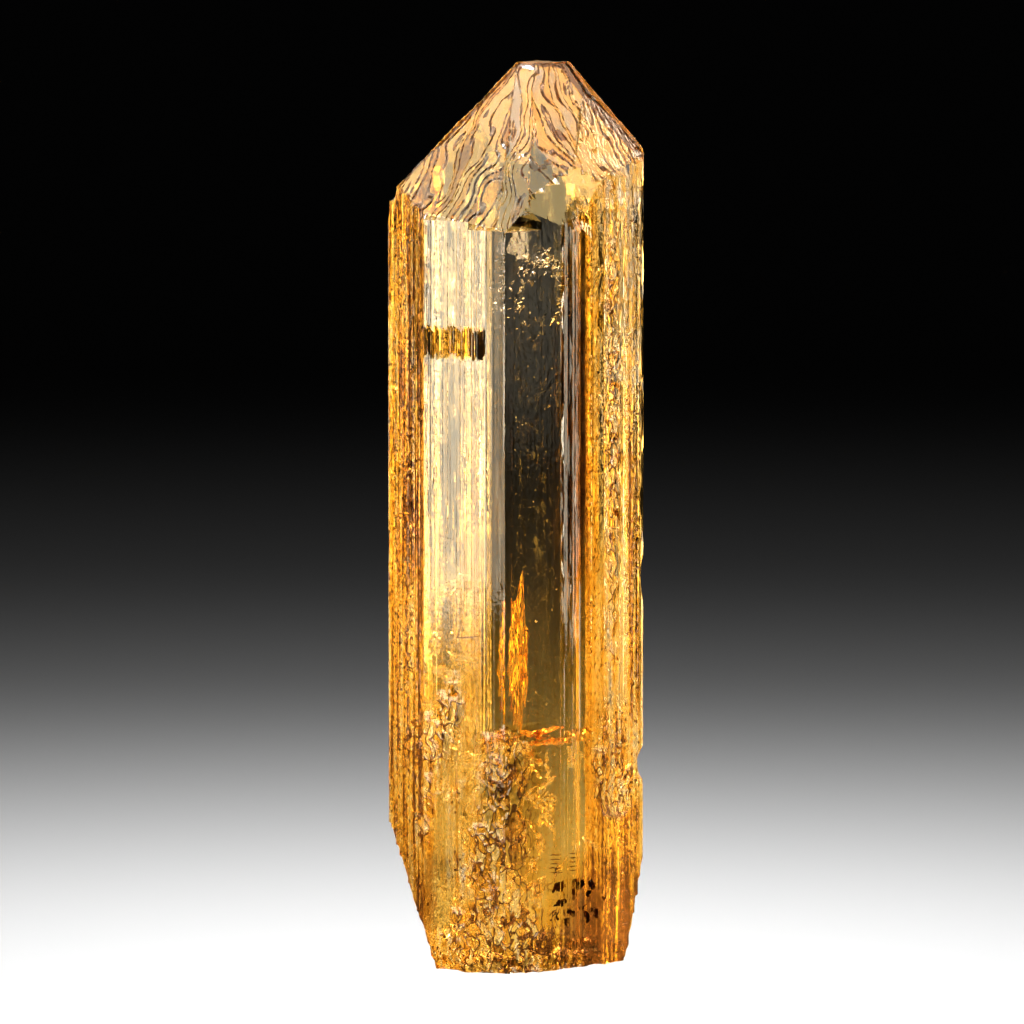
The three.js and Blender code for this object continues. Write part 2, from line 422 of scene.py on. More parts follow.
class Chip:
    def __init__(self, on, across, up, radius, deep):
        self.face = FACES[NUMBER[on] - 1]
        self.radius, self.rim = radius * MM, math.sqrt(2 * radius * deep) * MM
        self.place = self.face.point(across, up)
        self.centre = self.place + self.face.normal * (radius - deep) * MM
        self.struck = self.place + (self.face.up - self.face.along) * self.rim * 0.6

    def touches(self, face):
        places = [vert.co for vert in face.verts] + [face.calc_center_median()]
        return min((place - self.place).length for place in places) < self.rim * 1.2

    def push(self, point):
        """How far inwards the chip takes a point of the surface."""
        reach = point - self.centre
        inside = self.radius**2 - reach.length_squared
        if inside <= 0:
            return Vector()
        rise = reach.dot(self.face.normal)
        depth = rise + math.sqrt(rise * rise + inside)
        ripple = RIPPLE_HEIGHT * math.sin((point - self.struck).length / RIPPLE_LENGTH * math.tau)
        return -self.face.normal * max(0.0, depth + min(1.0, depth / (0.05 * MM)) * ripple)


# %% [markdown]
# ## The chips of this crystal
# The large chips are those of the frame: the face, the place across and up it, the ball's radius and the
# depth in millimetres. Small ones wear the rim of the foot and the long edges. The faces there are first
# cut finer.

# %% Large chips
CHIPS = [
    Chip("l front right", 2.9, 9.5, 3.4, 0.32),
    Chip("l bevel right", 0.7, 42.0, 2.6, 0.24),
    Chip("b right", 0.7, 10.9, 1.5, 0.52),
    Chip("b right", 0.7, 21.3, 4.5, 0.2),
    Chip("b left", 0.9, 42.0, 1.8, 0.22),
    Chip("foot left", -0.6, 4.4, 2.4, 0.24),
    Chip("foot left", 2.4, 2.0, 2.8, 0.3),
    Chip("foot back left", 0.2, 2.6, 3.6, 0.3),
    Chip("foot right", -0.6, 1.9, 2.2, 0.2),
    Chip("foot back", 1.0, 1.8, 3.2, 0.3),
    Chip("m back right", -2.2, 33.0, 3.0, 0.2),
]
CHIP_GRID = 0.17 * MM


def refine(faces, directions, grid):
    """Cuts faces into a grid along two directions."""
    for direction in directions:
        start, end = span_of(faces, direction)
        count = max(1, round((end - start) / grid))
        places = [start + (end - start) * step / count for step in range(1, count)]
        faces = slice_faces(faces, direction, places)


for chip in CHIPS:
    mine = faces_numbered(chip.face.name)
    near = [face for face in mine if chip.touches(face)]
    if near:
        refine(near, (Z_AXIS, chip.face.along), CHIP_GRID)
print("large chips:", len(CHIPS), "and now", len(crystal.faces), "faces")

# %% Small chips of the rim and the edges
RIM_HEIGHT = 1.1 * MM
RIM_CHIP_SPACING = 0.7
EDGE_CHIP_DEPTH = 0.14
for face in PRISM + FOOT[:4]:
    near = [part for part in faces_numbered(face.name) if part.calc_center_median().z < RIM_HEIGHT]
    if near:
        refine(near, (Z_AXIS, face.along), CHIP_GRID)
    start, end = (reach / MM for reach in span_of(faces_numbered(face.name), face.along))
    for _ in range(2 + int((end - start) / RIM_CHIP_SPACING)):
        size = rng.uniform(0.4, 1.1)
        CHIPS.append(Chip(face.name, rng.uniform(start, end), rng.uniform(0.0, 0.5), size, 0.2 * size))
    for _ in range(5 if face.name in ("b left", "b right") else 0):
        size = rng.uniform(0.3, 0.6)
        on_edge = rng.choice((start, end))
        CHIPS.append(Chip(face.name, on_edge, rng.uniform(2.0, 40.0), size, EDGE_CHIP_DEPTH))
print("chips:", len(CHIPS), "and now", len(crystal.faces), "faces")

# %% [markdown]
# ## Etched terraces
# Depth is always taken inwards from the exact plane, so the crystal never outgrows the frame. On the
# sloping faces a smooth height, folded and drawn out along the grain, is cut into terraces with steep,
# narrow risers. That gives the stepped contour lines of natural etching, which a plain noise could not.

# %% Terraces of the sloping faces
TERRACE = 0.06 * MM
QUIET_TERRACE = 0.015 * MM
RISE_SHARE = 0.2
FOLD = 1.7


def terraces(level):
    """Turns a smooth height into terraces, with a riser that takes up only a part of each step."""
    whole = math.floor(level)
    return whole + min(1.0, (level - whole) / RISE_SHARE)


def terrace_level(face, point):
    across = point.dot(face.across_grain) / MM
    along = point.dot(face.grain) / MM
    seed = NUMBER[face.name] * 5.0
    bend = 0.9 * noise.noise(Vector((across / 3.0, along / 2.5, seed + 2.0)))
    bend += 0.16 * noise.noise(Vector((across / 0.9, along / 1.1, seed + 4.0)))
    fold = abs(((across + bend) / FOLD + seed) % 2.0 - 1.0)
    lines = noise.noise(Vector(((across + bend) / 0.5, along / 5.0, seed)))
    broad = noise.noise(Vector((across / 1.5, along / 2.2, seed + 3.0)))
    return 1.0 + 4.5 * fold + 1.0 * lines + 1.6 * broad


def terrace_depth(face, point):
    if face.name == "y front right":
        return 0.0
    step = TERRACE if face.name in ETCHED_TOP else QUIET_TERRACE
    return step * max(0.0, terraces(terrace_level(face, point)))


# %% [markdown]
# ## Breaks
# Across its grain the crystal broke in smooth, ragged hollows. Along the cleavage that it stands on, topaz
# splits in flat steps, so that face gets low terraces.

# %% Depth of the breaks and of any point under its plane
def break_depth(face, point):
    across = point.dot(face.along) / MM
    up = point.dot(face.up) / MM
    hollow = noise.noise(Vector((across / 2.3, up / 2.3, NUMBER[face.name] * 3.0)))
    ragged = noise.noise(Vector((across / 0.5, up / 0.9, NUMBER[face.name] * 4.0)))
    return max(0.0, 0.14 + 0.2 * hollow + 0.07 * ragged) * MM


def cleavage_depth(point):
    step = noise.noise(Vector((point.x / (3.1 * MM), point.y / (2.2 * MM), 4.0)))
    ragged = noise.noise(Vector((point.x / (0.6 * MM), point.y / (0.5 * MM), 8.0)))
    return 0.1 * MM * max(0.0, terraces(1.0 + 2.5 * step)) + 0.1 * MM * max(0.0, ragged)


def depth_under(number, point):
    face = FACES[number - 1]
    if face in PRISM:
        return stripes[number].depth(point.dot(face.along), point.z)
    if face.name == "cleavage":
        return cleavage_depth(point)
    if face in FOOT:
        return break_depth(face, point)
    return terrace_depth(face, point)


# %% [markdown]
# ## The missing shoulder
# At the top left corner a block of growth is missing. Points inside that block go to its nearer inner side,
# which makes a step with a floor and a wall.

# %% Shoulder
SHOULDER = Vector((-6.31, -2.0, 42.75)) * MM
SHOULDER_SIZE = 1.8 * MM
SHOULDER_TILT = Matrix.Rotation(math.radians(-32), 3, "Y")
TO_WALL, TO_TOP = SHOULDER_TILT @ Vector((1.0, 0.0, 0.0)), SHOULDER_TILT @ Vector((0.0, 0.0, 1.0))


def shoulder_push(point):
    reach = point - SHOULDER
    wall, floor_rise = -reach.dot(TO_WALL), reach.dot(TO_TOP)
    inside = 0 < wall < SHOULDER_SIZE and 0 < floor_rise < SHOULDER_SIZE
    if not inside or abs(reach.y) >= 1.5 * SHOULDER_SIZE:
        return Vector()
    return TO_WALL * wall if wall < floor_rise else -TO_TOP * floor_rise


# %% [markdown]
# ## Etched and stained places
# The sides and the foot are etched and a little stained, and the broad front faces are clean. Four numbers
# are kept at every point for the material: how stained, rough and broken it is, and its tone, from brown
# (0) through orange (0.45) and gold (0.6) to pale (1). Besides the stone's own tones, the tone holds painted
# light in places: painted shade on etch lines, rims and faces that see the dark, and painted highlights and
# sheen where faces mirror a panel or glitter. They are worked out by rule, so they stay on their shapes.

# %% Look of the sloping faces
stained = crystal.verts.layers.float.new("stained")
rough = crystal.verts.layers.float.new("rough")
tone = crystal.verts.layers.float.new("tone")
broken = crystal.verts.layers.float.new("broken")
# Base tones of the sloping faces. The right dome and the tip c are dark: painted shade, as both are seen
# almost edge-on.
TOP_TONES = {
    "o front left": 0.76,
    "o front middle": 1.02,
    "o front right": 1.08,
    "o right": 1.04,
    "y front right": 0.8,
    "o back right": 1.0,
    "dome left": 1.0,
    "dome right": 0.22,
    "c": 0.25,
    "cleavage": 1.0,
}
TERRACE_TONES = 0.35
# Painted shade: etch risers and the rims of the tip and domes are darkened in tone, standing for the light
# that these steep or edge-on faces bend away.
RISER_PAINTED_SHADE = 3.2
RIM_PAINTED_SHADE = 1.8
EDGE_LINES = (("dome right", 0.3), ("dome left", 0.16), ("c", 0.24))


def ramp(value, start, end):
    """0 before start and 1 after end, also where end is the lower one."""
    return min(1.0, max(0.0, (value - start) / (end - start)))


def near_edge(point):
    """1 at the rims of the tip and of the sloping faces, where a dark line of painted shade goes, and 0 away
    from them.
    """
    rims = [(FACES[NUMBER[name] - 1], width) for name, width in EDGE_LINES]
    return max(ramp((face.offset - face.normal.dot(point)) / MM, width, 0.5 * width) for face, width in rims)


def look_of_slope(face, point):
    """Stain, roughness and tone of a sloping face: terraces of differing tones, with brown lines of painted
    shade at the risers and rims.
    """
    x, y, z = point / MM
    shade = TOP_TONES[face.name]
    if face.name in ETCHED_TOP:
        level = terrace_level(face, point)
        faint = min(1.0, max(0.15, 0.7 + 1.6 * noise.noise(Vector((x / 1.6, z / 1.6, 11.0)))))
        shade += 0.2 * noise.noise(Vector((x / 1.3, y / 1.3, z / 2.0)))
        own = noise.cell(Vector((math.floor(level) + 0.5, NUMBER[face.name] + 0.5, 0.5)))
        shade += TERRACE_TONES * (own - 0.5)
        shade -= RISER_PAINTED_SHADE * faint if level % 1.0 < RISE_SHARE else 0.0
        shade -= RIM_PAINTED_SHADE * near_edge(point)
    return 0.1, 0.1, shade


# %% [markdown]
# ## Tones of the upright faces
# The regions are upright strips, because the faces and their growth zones run upright. Each is a product of
# ramps across (x) and up (z), in millimetres, so it fades out instead of ending in a hard line. Some regions
# are painted light, not the stone: paler for painted highlights and sheen, darker for painted shade.

# %% Look of the upright faces
GOLD = 0.6


def look_of_side(point):
    """Stain, roughness and tone of an upright face or a break of the foot; the tone holds painted light in
    places.
    """
    x, y, z = point / MM
    if y > 0:
        hazy = ramp(z, 25.0, 11.0)
        return 0.3 * hazy, 0.45 * hazy, 0.7
    clean_right = 1.0 - ramp(x, 0.8, 1.2) * ramp(x, 4.0, 3.6) * ramp(z, 2.0, 3.0)
    near_foot = ramp(z, 15.0, 11.0) * clean_right
    sides = max(ramp(x, -5.0, -5.15), ramp(x, 3.7, 3.9))
    front = 1.0 - sides
    left_front = ramp(x, -0.6, -0.7) * front
    right_front = ramp(x, -0.7, -0.6) * front
    window = ramp(x, -0.7, -0.6) * ramp(x, 2.6, 2.4)
    inner = ramp(x, 3.7, 3.9) * ramp(x, 4.9, 4.7)
    glitter = ramp(x, 4.7, 4.9) * ramp(x, 6.2, 6.0) * ramp(z, 13.0, 15.0)
    band = ramp(z, BAND[0] - 0.1, BAND[0]) * ramp(z, BAND[1] + 0.1, BAND[1]) * ramp(x, -1.6, -1.8)
    bevel = ramp(x, 2.4, 2.6) * ramp(x, 3.8, 3.6) * ramp(z, 15.0, 25.0)
    red = ramp(x, -5.6, -5.5) * ramp(x, -5.0, -5.1)
    brown = ramp(z, 7.0, 4.0) * ramp(x, 1.0, 3.5)
    patchy = 0.5 + noise.noise(Vector((x / 1.6, y / 1.6, z / 2.2)))

    # Painted shade: the right bevel face is darker upwards, where it sees only the dark behind it.
    shade = GOLD - 0.19 * sides - 0.02 * inner - 0.5 * brown - 0.6 * bevel - 0.12 * red
    shade -= 0.12 * window * ramp(z, 15.0, 12.0) * ramp(z, 4.0, 6.0)
    # Painted sheen: the left front face gets paler upwards, where it mirrors the left panel.
    shade += (0.12 * ramp(z, 18.0, 24.0) + 0.22 * ramp(z, 24.0, 30.0)) * left_front
    # Painted highlights: the outer right edge and the inner right strip get paler towards their tops.
    shade += 0.42 * ramp(x, 6.0, 6.2) * ramp(z, 28.0, 36.0) + 0.12 * inner * ramp(z, 32.0, 37.0)
    # Painted highlights: a pale patch on the right chip, and a pale strip low on the left side that stands
    # for a facet's reflection.
    shade += 0.3 * ramp(x, 4.2, 4.8) * ramp(z, 8.5, 9.5) * ramp(z, 13.5, 12.5)
    shade += 0.4 * ramp(x, -5.6, -5.4) * ramp(x, -4.9, -5.0) * ramp(z, 4.5, 6.0) * ramp(z, 10.5, 9.5)
    # Painted glints: the glitter zone is paler. The right front faces are paler at the top. Painted shade:
    # the band of the left front face is darker, where its tipped flats mirror no panel.
    shade += 0.46 * glitter + 0.28 * ramp(z, 36.0, 38.5) * right_front - 0.5 * band * front

    etched_foot = near_foot * ramp(patchy, 0.25, 0.8)
    spots = max(0.08, sides * (1.0 - 0.55 * inner - 0.4 * glitter), etched_foot)
    grainy = max(0.08, sides * (1.0 - 0.95 * inner - 0.8 * glitter), 0.7 * etched_foot)
    return spots, grainy, shade


def look_of(number, point):
    """Stain, roughness and tone at a point of a numbered face."""
    face = FACES[number - 1]
    if face in TOP or face.name == "cleavage":
        return look_of_slope(face, point)
    return look_of_side(point)


# %% [markdown]
# ## Broken places
# In some places many small cracks reach the face, and it looks like a heap of leaves. Each is an oval, with
# its centre across and up and its half width and height in millimetres, and a ragged rim.

# %% Broken places
BROKEN_PLACES = (
    (5.35, 30.0, 0.4, 15.0),
    (-5.85, 27.0, 0.22, 13.0),
    (-0.9, 11.0, 1.3, 2.6),
    (-1.1, 6.5, 1.5, 4.5),
    (-0.8, 1.8, 3.2, 3.2),
    (5.4, 10.6, 1.1, 2.4),
    (-5.2, 9.0, 0.6, 2.6),
    (-3.6, 14.6, 0.7, 1.6),
    (-4.8, 12.6, 1.6, 1.4),
)


def broken_at(point):
    """1 in the middle of a broken place of the front and 0 outside them, with ragged rims."""
    if point.y > 0:
        return 0.0
    ragged = 0.45 * noise.noise(Vector((point.x / 0.7, point.z / 0.9, 21.0)))
    nearest = min(math.hypot((point.x - x) / w, (point.z - z) / h) for x, z, w, h in BROKEN_PLACES)
    return ramp(nearest + ragged, 1.1, 0.7)


# %% Store the looks
for vert in crystal.verts:
    looks = [look_of(face[number_of], vert.co) for face in vert.link_faces]
    vert[stained] = max(look[0] for look in looks)
    vert[rough] = max(look[1] for look in looks)
    vert[tone] = sum(look[2] for look in looks) / len(looks)
    vert[broken] = broken_at(vert.co / MM)
print("points in broken places:", sum(vert[broken] > 0.5 for vert in crystal.verts))

# %% [markdown]
# ## Every point sinks
# All depths are measured before anything moves, because they are told from the exact planes. A point moves
# in by the depth of every face that it belongs to, and then into the chips that it touches.

# %% Sink every point
moves = []
for vert in crystal.verts:
    move = Vector()
    for number in {face[number_of] for face in vert.link_faces}:
        move -= FACES[number - 1].normal * depth_under(number, vert.co)
    moves.append(move)
crystal.verts.ensure_lookup_table()
places = kdtree.KDTree(len(crystal.verts))
for vert, move in zip(crystal.verts, moves):
    vert.co += move
    vert.co += shoulder_push(vert.co)
    places.insert(vert.co, vert.index)
places.balance()
for chip in CHIPS:
    for _, index, _ in places.find_range(chip.centre, chip.radius):
        crystal.verts[index].co += chip.push(crystal.verts[index].co)
for vert in crystal.verts:
    vert.co.z = max(vert.co.z, 0.0)
deepest = max(move.length for move in moves)
print("relief up to", round(deepest / MM, 3), "mm deep")

# %% [markdown]
# ## Cracks inside
# What makes a natural topaz glitter inside is air: thin flat gaps along the cleavage (across the crystal)
# and curved feathers where it was strained. A gap is a closed skin whose faces look into the gap, because
# that is the way out of the stone. Each is a ball pressed flat, with a ragged rim and waves. A crack that
# would reach the surface or another crack is left out.

# %% One crack
SKIN = 0.4 * MM
cracks = bmesh.new()
crack_trees = [BVHTree.FromBMesh(crystal)]


def room_inside(point):
    return min(face.offset - face.normal.dot(point) for face in FACES)


def crack_shape(
    bm, centre, normal, length, breadth, thickness, wave, ripple, fineness, swing=math.tau, stretch=1.0
):
    """Adds a ball to a mesh, pressed flat, with a ragged rim and waves, and returns its vertices."""
    seed = rng.uniform(0, 100)
    turn = normal.to_track_quat("Z", "X").to_matrix()
    turn = turn @ Matrix.Rotation(rng.uniform(-0.5, 0.5) * swing, 3, "Z")
    made = bmesh.ops.create_icosphere(bm, subdivisions=fineness, radius=1.0)["verts"]
    for vert in made:
        x, y, z = vert.co
        ray = Vector((x, y, 0.0)).normalized()
        ragged = 1.0 + 0.5 * noise.noise(ray * 1.6 + Vector((seed, 0.0, 0.0)))
        ragged += 0.25 * noise.noise(ray * 5.0 + Vector((0.0, seed, 0.0)))
        flat = Vector((x * length * ragged, y * breadth * ragged, z * thickness))
        place = Vector((flat.x / stretch / ripple, flat.y / ripple, seed))
        flat.z += wave * (noise.noise(place) + 0.4 * noise.noise(3.1 * place))
        vert.co = centre + turn @ flat
    return made


def add_crack(centre, normal, length, breadth, skin=1, **settings):
    """Adds one crack. Returns 0 where it would reach the surface or another crack, else 1."""
    if room_inside(centre) < SKIN:
        return 0
    piece = bmesh.new()
    made = crack_shape(piece, centre, normal, length, breadth, **settings)
    tree = BVHTree.FromBMesh(piece)
    free = min(room_inside(vert.co) for vert in made) > SKIN
    free = free and not any(tree.overlap(other) for other in crack_trees)
    if free:
        crack_trees.append(tree)
        bmesh.ops.reverse_faces(piece, faces=piece.faces[:])
        for face in piece.faces:
            face.material_index = skin
        spare = bpy.data.meshes.new("crack")
        piece.to_mesh(spare)
        cracks.from_mesh(spare)
        bpy.data.meshes.remove(spare)
    piece.free()
    return int(free)


def facing_about(normal, spread):
    """A direction near the normal; the larger the spread, the further off."""
    return (Vector(normal) + spread * Vector([rng.uniform(-1, 1) for _ in range(3)])).normalized()


def scatter(name, count, low_mm, high_mm, size, normal, spread, slim=(0.4, 0.9), **settings):
    """Scatters cracks in a box, facing roughly one way, and prints how many fitted."""
    fitted = 0
    for _ in range(count):
        place = Vector([rng.uniform(a, b) * MM for a, b in zip(low_mm, high_mm)])
        facing = facing_about(normal, spread)
        length = rng.uniform(*size) * MM
        fitted += add_crack(place, facing, length, length * rng.uniform(*slim), **settings)
    print(name + ":", fitted, "of", count)


# %% [markdown]
# ## The kinds of cracks
# A curtain is one tall, wavy sheet stained by iron. Feathers are broad and curved, veins narrow and wavy,
# and dark cracks hold a little ore. Of specks and sparks only the flash is seen. Each kind is a set of
# settings, to which a place, a size and a direction are added.

# %% Kinds and directions
UPWARDS = (0.0, 0.0, 1.0)
TOWARDS_FRONT = (0.0, -1.0, 0.25)
TOWARDS_PANEL = (-0.293, -0.956, 0.0)
SIDEWAYS = (0.6, -0.6, -0.3)
FACING_DOWN = (0.0, -0.7, -0.6)
FACING_UP = (0.0, -0.7, 0.6)
LEANING = Vector((0.1, -0.3, 1.0))
SLIM, SLIMMER, SLIMMEST = (0.25, 0.5), (0.15, 0.4), (0.1, 0.3)
IRON_SKIN, ORE_SKIN, RED_SKIN = 2, 3, 4


def kind(thickness, wave, ripple, fineness, **more):
    """Settings of a kind of crack: thickness, height and length of waves in mm, and fineness."""
    return dict(thickness=thickness * MM, wave=wave * MM, ripple=ripple * MM, fineness=fineness, **more)


curtain = kind(0.02, 0.4, 0.5, 5, swing=0.02, stretch=6)
feather = kind(0.012, 0.32, 0.8, 4)
vein = kind(0.03, 0.3, 0.5, 3, swing=0.8)
dark = kind(0.02, 0.03, 0.5, 3, swing=0.8)
rung_shape = kind(0.02, 0.05, 0.5, 3, swing=0.1)
flake = kind(0.008, 0.06, 0.25, 2)
spark = kind(0.006, 0.02, 0.2, 1)
pale = kind(0.01, 0.02, 0.6, 4, swing=0.1)
speck = kind(0.0015, 0.001, 0.2, 1)

# %% Stained and dark cracks
place, facing = Vector((-0.14, -4.1, 17.7)) * MM, Vector((0.3, -0.95, 0)).normalized()
print("curtain:", add_crack(place, facing, 4.2 * MM, 0.6 * MM, skin=IRON_SKIN, **curtain))
scatter("basal", 14, (0, -2.5, 12.4), (2.6, 1, 13.4), (0.8, 1.8), UPWARDS, 0.12, skin=RED_SKIN, **feather)
scatter("brown", 40, (1.5, -3.4, 2.6), (5.0, -1, 5.0), (0.12, 0.4), SIDEWAYS, 0.9, skin=ORE_SKIN, **vein)
place = Vector((-2.4, -3.6, 18.6)) * MM
print("long dark crack:", add_crack(place, LEANING, 0.06 * MM, 0.85 * MM, skin=ORE_SKIN, **dark))

# %% Two ladders of short dark cracks
RUNGS = 5
RUNG_STEP = 0.24
fitted = 0
for column_x, column_y, half in ((1.94, -3.3, 0.33), (2.85, -2.6, 0.25)):
    for rung in range(RUNGS):
        place = Vector((column_x, column_y, 5.5 + RUNG_STEP * rung)) * MM
        fitted += add_crack(place, LEANING.normalized(), 0.05 * MM, half * MM, skin=ORE_SKIN, **rung_shape)
print("rungs:", fitted, "of", 2 * RUNGS)

# %% Clear cracks
scatter("veins", 120, (-2.8, -4, 1.0), (1.2, -0.5, 12.5), (0.4, 1.2), SIDEWAYS, 0.9, slim=SLIM, **vein)
scatter("foot veins", 30, (-5, -4, 1.0), (6, 4, 14), (0.5, 1.2), FACING_DOWN, 1.0, **vein)
scatter("left veins", 30, (-6.2, -3, 10), (-2.5, 1, 22), (0.4, 1.4), SIDEWAYS, 0.8, slim=SLIMMER, **vein)
scatter("side veins", 30, (-6.4, -2, 14), (-5.1, 0.5, 42), (0.3, 1.2), SIDEWAYS, 0.8, slim=SLIMMEST, **vein)
scatter("right veins", 60, (3.8, -3.4, 14), (5.4, -1, 42), (0.3, 1.2), SIDEWAYS, 0.8, slim=SLIMMEST, **vein)
scatter("middle feathers", 6, (-5, -3, 13), (-2.0, -1, 18), (0.4, 1.0), FACING_DOWN, 0.8, **feather)
place = Vector((0.02, -4.4, 40.4)) * MM
print("pale flake:", add_crack(place, Vector(TOWARDS_PANEL), 0.95 * MM, 0.75 * MM, **pale))
scatter("specks", 90, (-0.8, -4.4, 18), (2.2, -2.0, 37), (0.03, 0.07), TOWARDS_PANEL, 0.035, **speck)
scatter("sparks", 260, (-6, -4, 4), (6, 4, 40), (0.03, 0.1), TOWARDS_FRONT, 1.2, **spark)

# %% [markdown]
# ## A healed crack
# A crack that heals while the crystal grows leaves a veil: a swarm of tiny flat gaps along a curved sheet.
# One large sheet would show a hard rim, so small flakes are strewn round a path that arches under the top.

# %% Veil of a healed crack
VEIL_FLAKES = 190
VEIL_PATH = [(-0.7, 35.9), (-0.35, 38.2), (0.5, 39.3), (1.5, 39.4), (2.1, 38.0), (1.9, 35.8)]


def veil_place(share):
    """A point of the veil, at a share of the way along its path and scattered round it."""
    step = min(share * (len(VEIL_PATH) - 1), len(VEIL_PATH) - 1.001)
    first, second = VEIL_PATH[int(step)], VEIL_PATH[int(step) + 1]
    x, z = (a + (step % 1.0) * (b - a) for a, b in zip(first, second))
    width = 0.5 - 0.4 * share
    return Vector((x + rng.gauss(0, width), -2.4 + rng.gauss(0, 0.2), z + rng.gauss(0, width))) * MM


fitted = 0
for _ in range(VEIL_FLAKES):
    facing = facing_about(FACING_UP, 0.7)
    size = rng.uniform(0.06, 0.22) * MM
    fitted += add_crack(veil_place(rng.random()), facing, size, size * rng.uniform(0.2, 0.5), **flake)
print("veil:", fitted, "of", VEIL_FLAKES)

# %% [markdown]
# ## One stone
# The crystal and the skins of its cracks go into one mesh, because light that enters by a face has to leave
# by a face or by the skin of a gap. The triangles stay flat-shaded, so that each mirrors as a plane.

# %% Crystal object
mesh = bpy.data.meshes.new("topaz")
cracks.to_mesh(mesh)
crystal.from_mesh(mesh)
bmesh.ops.triangulate(crystal, faces=crystal.faces[:])
crystal.to_mesh(mesh)
crystal.free()
topaz = new_object("topaz", mesh)
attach(topaz, "root")
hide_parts("topaz_crystal")
print("topaz:", len(mesh.polygons), "triangles")

# %% [markdown]
# ## Helpers for materials
# A material is a small tree of nodes. Helpers keep the trees short: they turn a hex colour into the linear
# numbers that shaders use, add a node, and start a material.


# %% Material helpers
def linear(text):
    """An sRGB hex colour as the linear colour that shaders use."""
    channels = [int(text[place : place + 2], 16) / 255 for place in (1, 3, 5)]
    bent = [c / 12.92 if c <= 0.04045 else ((c + 0.055) / 1.055) ** 2.4 for c in channels]
    return (*bent, 1.0)


def add_node(tree, kind, links=(), **settings):
    """Adds a node; settings are its properties or input values, links are (input, source socket)."""
    node = tree.nodes.new("ShaderNode" + kind)
    for name, value in settings.items():
        if hasattr(node, name):
            setattr(node, name, value)
        else:
            node.inputs[name.replace("_", " ")].default_value = value
    for name, source in links:
        tree.links.new(source, node.inputs[name])
    return node


def new_material(name, **settings):
    """A material with one shader as its surface. Returns it with its tree, that shader and the output."""
    material = bpy.data.materials.new(name)
    material.use_nodes = True
    tree = material.node_tree
    tree.nodes.clear()
    output = add_node(tree, "OutputMaterial")
    shader = add_node(tree, "BsdfPrincipled", **settings)
    tree.links.new(shader.outputs["BSDF"], output.inputs["Surface"])
    return material, tree, shader, output


# %% [markdown]
# ## Patterns of the natural faces
# Natural faces carry fine streaks, grains of etching and, in the broken places, leaf-shaped flakes. They
# are smaller than the triangles, so they are textures, placed by the object's own coordinates, which need
# no unwrapping.

# %% Patterns
TOPAZ_IOR = 1.62
TONES = (
    (0.0, "#3c1804"),
    (0.15, "#7a3a0a"),
    (0.3, "#c8740f"),
    (0.45, "#f09a1c"),
    (0.62, "#ffc246"),
    (0.82, "#ffdc8c"),
    (0.92, "#dcc4ac"),
    (1.0, "#a4a8bc"),
)
LEAF_SIZE = (0.5, 0.5, 1.5)
LEAF_BEND = (0.9, 0.9, 0.9)
STREAK_SIZE = (0.28, 0.28, 7.0)
LINE_SIZE = (0.12, 0.12, 3.0)
GRAIN_SIZE = (0.22, 0.22, 0.3)
SPECK_SIZE = (0.3, 0.3, 0.42)
ETCH_DEPTH = 0.05 * MM


def pattern(tree, kind, size, **settings):
    """A texture in the object's own coordinates, with features of a size in millimetres."""
    place = add_node(tree, "TexCoord").outputs["Object"]
    scaled = add_node(tree, "Mapping", [("Vector", place)], Scale=[1 / (s * MM) for s in size])
    return add_node(tree, kind, [("Vector", scaled.outputs["Vector"])], Scale=1.0, **settings)


def leaf_pattern(tree, feature):
    """Cells like small leaves: the texture's place is bent by a noise before the cells are worked out."""
    place = add_node(tree, "TexCoord").outputs["Object"]
    bend = pattern(tree, "TexNoise", LEAF_BEND, Detail=1.0).outputs["Color"]
    scaled = add_node(tree, "Mapping", [("Vector", place)], Scale=[1 / (s * MM) for s in LEAF_SIZE])
    bent = add_node(tree, "VectorMath", [(0, scaled.outputs["Vector"]), (1, bend)], operation="ADD")
    bent = add_node(tree, "VectorMath", [(0, bent.outputs[0]), (1, bend)], operation="ADD")
    return add_node(tree, "TexVoronoi", [("Vector", bent.outputs[0])], Scale=1.0, feature=feature)


def math_node(tree, operation, first, second):
    """One step of arithmetic; each side is a number or a socket."""
    node = add_node(tree, "Math", operation=operation)
    for place, value in enumerate((first, second)):
        if isinstance(value, (int, float)):
            node.inputs[place].default_value = value
        else:
            tree.links.new(value, node.inputs[place])
    return node.outputs["Value"]


# %% [markdown]
# ## Imperial topaz with its natural faces
# The faces are as they grew and were etched, and nobody polished them. That gives the eye sharp flashes
# from small flats, next to streaky and grainy places where the light breaks up. The stone is coloured all
# through, but colour from depth alone is hard to place in a body that bends light so much. So only a little
# comes from volume absorption, strongest in blue, and most is a tint that light takes on at the face.

# %% Topaz: what is known at each point
CLEAR_STONE = dict(Roughness=0.0, IOR=TOPAZ_IOR, Transmission_Weight=1.0)
material, tree, stone, output = new_material("imperial topaz, natural faces", **CLEAR_STONE)
stained_here, rough_here, tone_here, broken_here = (
    add_node(tree, "Attribute", attribute_name=name).outputs["Fac"]
    for name in ("stained", "rough", "tone", "broken")
)
streaks = pattern(tree, "TexNoise", STREAK_SIZE, Detail=2.0).outputs["Fac"]
lines = pattern(tree, "TexNoise", LINE_SIZE, Detail=1.0).outputs["Fac"]
grain = pattern(tree, "TexNoise", GRAIN_SIZE, Detail=2.0).outputs["Fac"]
specks = pattern(tree, "TexVoronoi", SPECK_SIZE).outputs["Distance"]

